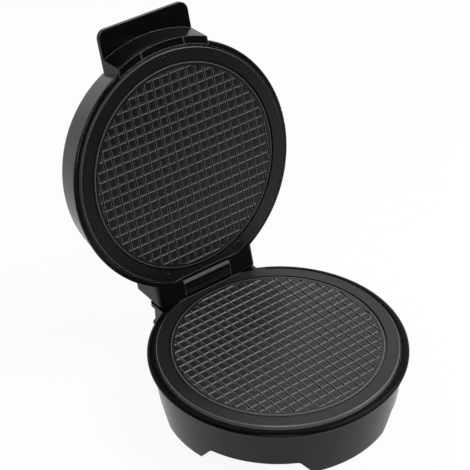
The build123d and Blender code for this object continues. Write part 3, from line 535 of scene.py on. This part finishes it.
# Upper baking plate
# The same casting turned over and screwed into the lid, with its baking face down when closed.
# Its painted highlight on edges and groove walls is dimmer than on the lower plate, and its
# grooves carry the same painted shade.
# Painted highlight: the colour of the light lines on the upper plate.
upper_edges_painted_highlight = (0.13, 0.13, 0.132, 1)
dry_gloss = 0.38

joint = frame["joints"][0]
lid_swing = Matrix.Rotation(-radians(joint["range_deg"][1]), 3, "X")
pin_place = Matrix.Translation(joint["pos_m"])
closing = pin_place @ lid_swing.inverted().to_4x4() @ pin_place.inverted()
upper_coating = coated_material("upper plate coating", closing, upper_edges_painted_highlight, dry_gloss)
paint("upper_baking_plate", upper_coating)


# Screws
# Pan-head steel screws with a cross recess, cold headed and rolled, zinc plated or, in the upper
# plate, blackened. Each stands where the solid one does, with its head where it can be reached.
zinc_colour = (0.52, 0.52, 0.54, 1)
zinc_dull = (0.36, 0.36, 0.38, 1)
blackened_colour = (0.018, 0.018, 0.019, 1)
blackened_rubbed = (0.05, 0.05, 0.052, 1)
plating = {"softness": 0.0002, "grain_size": 0.0003, "patch_size": 0.002, "depth": 0.00001}
# The sizes of a head are shares of its radius and height, and those of a thread are shares of the
# shank's radius and of the pitch.
head_segments = 32
head_profile = ((1, 0), (1, 0.45), (0.93, 0.75), (0.78, 0.94), (0.6944, 1))
recess_depth = 0.55
recess_mouth = {"reach": 0.62, "width": 0.2}
recess_foot = {"reach": 0.372, "width": 0.11}
thread_pitch = 0.0012
thread_root = 0.8
thread_start = 0.3
thread_flank = 0.4
point_length = 2
point_width = 0.15
touching = 1e-6
tip_zone = 0.001
head_edge = 0.97
crease_angle = radians(35)


def patchy_finish(
    name, first, second, roughness, softness, grain_size, patch_size, depth,
    metallic=0.0, rough_with="Height",
):
    """A finish that drifts in patches between two colours under a fine raised grain. Its roughness
    follows the grain's Height or its Patches."""
    material, tree, shader = new_material(name, metallic)
    corners = add_group_node(tree, soft_corners, Radius=softness)
    skin = add_group_node(tree, grain, Size=grain_size, Patch_Size=patch_size)
    colour = mix_colours(tree, skin.outputs["Patches"], first, second)
    tree.links.new(colour, shader.inputs["Base Color"])
    vary_roughness(tree, shader, skin.outputs[rough_with], roughness)
    add_bump(tree, shader, skin.outputs["Height"], depth, corners.outputs["Normal"])
    return material


def middle_of(points):
    """The mean place of some points, by which the screws of a node are put in order."""
    return tuple(round(value, 5) for value in sum(points, Vector()) / len(points))


def separate_solids(node):
    """The points of each solid of a CAD node, as lists of vectors."""
    shape = bmesh.new()
    shape.from_mesh(cad[node].data)
    bmesh.ops.remove_doubles(shape, verts=shape.verts, dist=touching)
    solids = []
    left = set(shape.verts)
    for start in shape.verts:
        if start not in left:
            continue
        left.remove(start)
        reached = [start]
        solid = []
        while reached:
            vertex = reached.pop()
            solid.append(vertex.co.copy())
            for edge in vertex.link_edges:
                other = edge.other_vert(vertex)
                if other in left:
                    left.remove(other)
                    reached.append(other)
        solids.append(solid)
    shape.free()
    return sorted(solids, key=middle_of)


def ring_of(shape, radius, height):
    """A closed ring of vertices round the Z axis."""
    angles = [2 * pi * turn / head_segments for turn in range(head_segments)]
    return [shape.verts.new((radius * cos(a), radius * sin(a), height)) for a in angles]


def join_rings(shape, lower, upper):
    """Faces between two rings with as many vertices."""
    for turn in range(len(lower)):
        after = (turn + 1) % len(lower)
        shape.faces.new((lower[turn], lower[after], upper[after], upper[turn]))


def cross_of(shape, size, height, reach, width):
    """A ring of the twelve corners of a cross, with its sizes as shares of the given one."""
    arm = [(reach, -width), (reach, width), (width, width)]
    corners = []
    for quarter in range(4):
        angle = quarter * pi / 2
        corners += [
            (x * cos(angle) - y * sin(angle), x * sin(angle) + y * cos(angle)) for x, y in arm
        ]
    return [shape.verts.new((x * size, y * size, height)) for x, y in corners]


def add_screw(shape, centre, axis, head_radius, head_height, shank_radius, shank_length):
    """One screw: a domed head with a cross recess behind the seat, and a threaded shank ahead."""
    first = len(shape.verts)
    head = [
        ring_of(shape, head_radius * reach, -head_height * rise) for reach, rise in head_profile
    ]
    for lower, upper in zip(head[1:], head):
        join_rings(shape, lower, upper)
    floor_height = -head_height * (1 - recess_depth)
    mouth = cross_of(shape, head_radius, -head_height, **recess_mouth)
    foot = cross_of(shape, head_radius, floor_height, **recess_foot)
    mouth_edges = [shape.edges.new(pair) for pair in zip(mouth, mouth[1:] + mouth[:1])]
    top_edges = [shape.edges.get(pair) for pair in zip(head[-1], head[-1][1:] + head[-1][:1])]
    bmesh.ops.triangle_fill(shape, edges=top_edges + mouth_edges, use_beauty=True)
    join_rings(shape, foot, mouth)
    shape.faces.new(foot)

    neck = shank_length - point_length * shank_radius
    rings = [head[0], ring_of(shape, shank_radius, 0)]
    for turn in range(int(neck / thread_pitch)):
        start = (turn + thread_start) * thread_pitch
        rings.append(ring_of(shape, shank_radius * thread_root, start))
        rings.append(ring_of(shape, shank_radius, start + thread_pitch * thread_flank))
    rings.append(ring_of(shape, shank_radius * thread_root, neck))
    rings.append(ring_of(shape, shank_radius * point_width, shank_length))
    for lower, upper in zip(rings, rings[1:]):
        join_rings(shape, lower, upper)
    shape.faces.new(rings[-1])

    shape.verts.ensure_lookup_table()
    turned = Vector((0, 0, 1)).rotation_difference(axis).to_matrix().to_4x4()
    placed = Matrix.Translation(centre) @ turned
    bmesh.ops.transform(shape, matrix=placed, verts=shape.verts[first:])


def set_screws(node, body, axis, finish):
    """Threaded screws with a recess for a node's plain ones. The axis points down their shanks."""
    shape = bmesh.new()
    across = axis.orthogonal().normalized()
    beside = axis.cross(across)
    for points in separate_solids(node):
        depths = [point.dot(axis) for point in points]
        sides = [[point.dot(way) for point in points] for way in (across, beside)]
        middle = [(min(side) + max(side)) / 2 for side in sides]
        radii = [hypot(x - middle[0], y - middle[1]) for x, y in zip(*sides)]
        top, tip = min(depths), max(depths)
        head_radius = (max(sides[0]) - min(sides[0])) / 2
        shank_radius = max(r for r, depth in zip(radii, depths) if depth > tip - tip_zone)
        seat = max(depth for r, depth in zip(radii, depths) if r > head_radius * head_edge)
        centre = across * middle[0] + beside * middle[1] + axis * seat
        add_screw(shape, centre, axis, head_radius, seat - top, shank_radius, tip - seat)
    bmesh.ops.recalc_face_normals(shape, faces=shape.faces)
    mesh = bpy.data.meshes.new(node + "_recessed")
    shape.to_mesh(mesh)
    shape.free()
    mesh.materials.append(finish)
    screws = bpy.data.objects.new(node + "_recessed", mesh)
    bpy.context.scene.collection.objects.link(screws)
    mesh.shade_smooth()
    mesh.set_sharp_from_angle(angle=crease_angle)
    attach(screws, body)
    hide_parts(node)


zinc = patchy_finish(
    "zinc plated steel", zinc_colour, zinc_dull,
    roughness=(0.25, 0.4), **plating, metallic=1.0, rough_with="Patches",
)
blackened = patchy_finish(
    "blackened steel", blackened_colour, blackened_rubbed,
    roughness=(0.35, 0.5), **plating, metallic=1.0, rough_with="Patches",
)
upwards = Vector((0, 0, 1))
inwards = Vector((0, -1, 0))
set_screws("lower_plate_screws", "base", upwards, zinc)
set_screws("lower_shield_screws", "base", upwards, zinc)
set_screws("underside_screws", "base", upwards, zinc)
set_screws("upper_plate_screws", "lid", lid_swing @ upwards, blackened)
set_screws("upper_shield_screws", "lid", lid_swing @ -upwards, zinc)
set_screws("board_screws", "lid", lid_swing @ upwards, zinc)
set_screws("handle_screws", "lid", lid_swing @ inwards, zinc)


# Heating elements and heat shields
# Behind each plate lies a tubular element with a steel sheath that heat has tinted brown, and
# behind that a pan pressed from bright steel sheet, still with its rolling lines.
sheath_colour = (0.16, 0.13, 0.1, 1)
sheath_tint = (0.3, 0.27, 0.24, 1)
sheet_steel_colour = (0.56, 0.56, 0.57, 1)
sheet_steel_shade = (0.42, 0.42, 0.43, 1)
sheet_steel_roughness = (0.25, 0.4)
sheet_softness = 0.0003
rolling_line_scale = (30, 2500, 2500)
rolling_line_depth = 0.00001

sheath = patchy_finish(
    "heat tinted sheath", sheath_colour, sheath_tint, metallic=1.0,
    roughness=(0.45, 0.6), softness=0.0002, grain_size=0.0008, patch_size=0.012, depth=0.00003,
)
paint("lower_heating_element", sheath)
paint("upper_heating_element", sheath)

sheet_steel, tree, shader = new_material("pressed sheet steel", metallic=1.0)
corners = add_group_node(tree, soft_corners, Radius=sheet_softness)
place = tree.nodes.new("ShaderNodeTexCoord")
stretched = tree.nodes.new("ShaderNodeMapping")
stretched.inputs["Scale"].default_value = rolling_line_scale
rolling = tree.nodes.new("ShaderNodeTexNoise")
rolling.inputs["Scale"].default_value = 1
tree.links.new(place.outputs["Object"], stretched.inputs["Vector"])
tree.links.new(stretched.outputs["Vector"], rolling.inputs["Vector"])
colour = mix_colours(tree, rolling.outputs["Fac"], sheet_steel_colour, sheet_steel_shade)
tree.links.new(colour, shader.inputs["Base Color"])
vary_roughness(tree, shader, rolling.outputs["Fac"], sheet_steel_roughness)
add_bump(tree, shader, rolling.outputs["Fac"], rolling_line_depth, corners.outputs["Normal"])
paint("lower_heat_shield", sheet_steel)
paint("upper_heat_shield", sheet_steel)


# Thermostat, fuse and terminal block
# Small bought-in controls inside the base: an aluminium can with tinned tabs, a fuse on a saddle
# and an off-white moulded terminal block.
can_colour = (0.6, 0.6, 0.6, 1)
can_scuffed = (0.45, 0.45, 0.46, 1)
block_colour = (0.72, 0.7, 0.63, 1)
block_shade = (0.6, 0.58, 0.52, 1)

can_metal = patchy_finish(
    "aluminium can", can_colour, can_scuffed, metallic=1.0,
    roughness=(0.3, 0.45), softness=0.0002, grain_size=0.0004, patch_size=0.003, depth=0.00001,
)
paint("thermostat", can_metal)
paint("thermal_fuse", can_metal)
block_plastic = patchy_finish(
    "terminal plastic", block_colour, block_shade,
    roughness=(0.4, 0.5), softness=0.0003, grain_size=0.0005, patch_size=0.008, depth=0.00002,
)
paint("terminal_block", block_plastic)


# Hinge pins
# Two ground steel pins pressed into the barrel, on which the lid's knuckles turn.
pin_colour = (0.55, 0.55, 0.56, 1)
pin_worn = (0.42, 0.41, 0.4, 1)

ground_steel = patchy_finish(
    "ground steel", pin_colour, pin_worn, metallic=1.0,
    roughness=(0.15, 0.25), softness=0.0002, grain_size=0.0003, patch_size=0.004, depth=0.000005,
)
paint("hinge_pins", ground_steel)


# Underside: cover, feet and cord gland
# The cover is moulded in the same plastic as the housing. Its feet, the two feet at the rear for
# standing the appliance on its back, and the cord gland are matt black rubber with a little dust.
rubber_colour = (0.014, 0.014, 0.014, 1)
rubber_dust = (0.06, 0.058, 0.055, 1)
rubber_roughness = (0.65, 0.8)
rubber_softness = 0.0004
rubber_grain_size = 0.0005
rubber_patch_size = 0.006
rubber_depth = 0.00004
dust_start = 0.5
dust_end = 0.75
dust_strength = 0.5

rubber, tree, shader = new_material("black rubber")
corners = add_group_node(tree, soft_corners, Radius=rubber_softness)
skin = add_group_node(tree, grain, Size=rubber_grain_size, Patch_Size=rubber_patch_size)
dusty = remap(tree, skin.outputs["Patches"], dust_start, dust_end, 0, dust_strength)
colour = mix_colours(tree, dusty, rubber_colour, rubber_dust)
tree.links.new(colour, shader.inputs["Base Color"])
vary_roughness(tree, shader, skin.outputs["Patches"], rubber_roughness)
add_bump(tree, shader, skin.outputs["Height"], rubber_depth, corners.outputs["Normal"])
paint("base_underside_cover", black_plastic)
paint("rubber_feet", rubber)
paint("rear_standing_feet", rubber)
paint("cord_gland", rubber)


# Lid housing and handle
# The lid is the same moulded plastic, with the handle screwed to its front from inside. Round the
# peak of its domed top it takes its faces' own normals, because the smoothed ones fold there.
dome_middle = 0.0192
lid_gloss = 0.24
handle_gloss = 0.17

lid_plastic = black_plastic_with("lid plastic", lid_gloss)
tree = lid_plastic.node_tree
bump = tree.nodes["Principled BSDF"].inputs["Normal"].links[0].from_node
smoothed = bump.inputs["Normal"].links[0].from_socket
axes = tree.nodes.new("ShaderNodeSeparateXYZ")
tree.links.new(place_turned_back(tree, closing), axes.inputs["Vector"])
from_peak = distance_to_axis(tree, axes.outputs["X"], axes.outputs["Y"])
in_middle = calculate(tree, "LESS_THAN", from_peak, dome_middle)
flat = tree.nodes.new("ShaderNodeNewGeometry")
normal = tree.nodes.new("ShaderNodeMix")
normal.data_type = "VECTOR"
tree.links.new(in_middle, normal.inputs["Factor"])
tree.links.new(smoothed, normal.inputs["A"])
tree.links.new(flat.outputs["True Normal"], normal.inputs["B"])
tree.links.new(normal.outputs["Result"], bump.inputs["Normal"])
paint("lid_housing", lid_plastic)

paint("lid_handle", black_plastic_with("handle plastic", handle_gloss))


# Lamps
# Two tinted windows let into the lid's top, red for power and green for ready, over a small brown
# laminate board with a lamp under each.
red_tint = (0.6, 0.02, 0.015, 1)
green_tint = (0.03, 0.42, 0.1, 1)
tint_shade = 0.7
window_clearness = 0.5
window_bending = 1.5
laminate_colour = (0.4, 0.27, 0.13, 1)
laminate_fibre = (0.3, 0.19, 0.09, 1)

for node, tint in (("power_lamp_lens", red_tint), ("ready_lamp_lens", green_tint)):
    darker = tuple(tint_shade * value for value in tint[:3]) + (1,)
    lens = patchy_finish(
        node.replace("_", " "), tint, darker, roughness=(0.05, 0.12), rough_with="Patches",
        softness=0.0003, grain_size=0.0006, patch_size=0.004, depth=0.000005,
    )
    shader = lens.node_tree.nodes["Principled BSDF"]
    shader.inputs["Transmission Weight"].default_value = window_clearness
    shader.inputs["IOR"].default_value = window_bending
    paint(node, lens)

laminate = patchy_finish(
    "brown laminate", laminate_colour, laminate_fibre,
    roughness=(0.5, 0.6), softness=0.0002, grain_size=0.0003, patch_size=0.002, depth=0.00001,
)
paint("lamp_board", laminate)
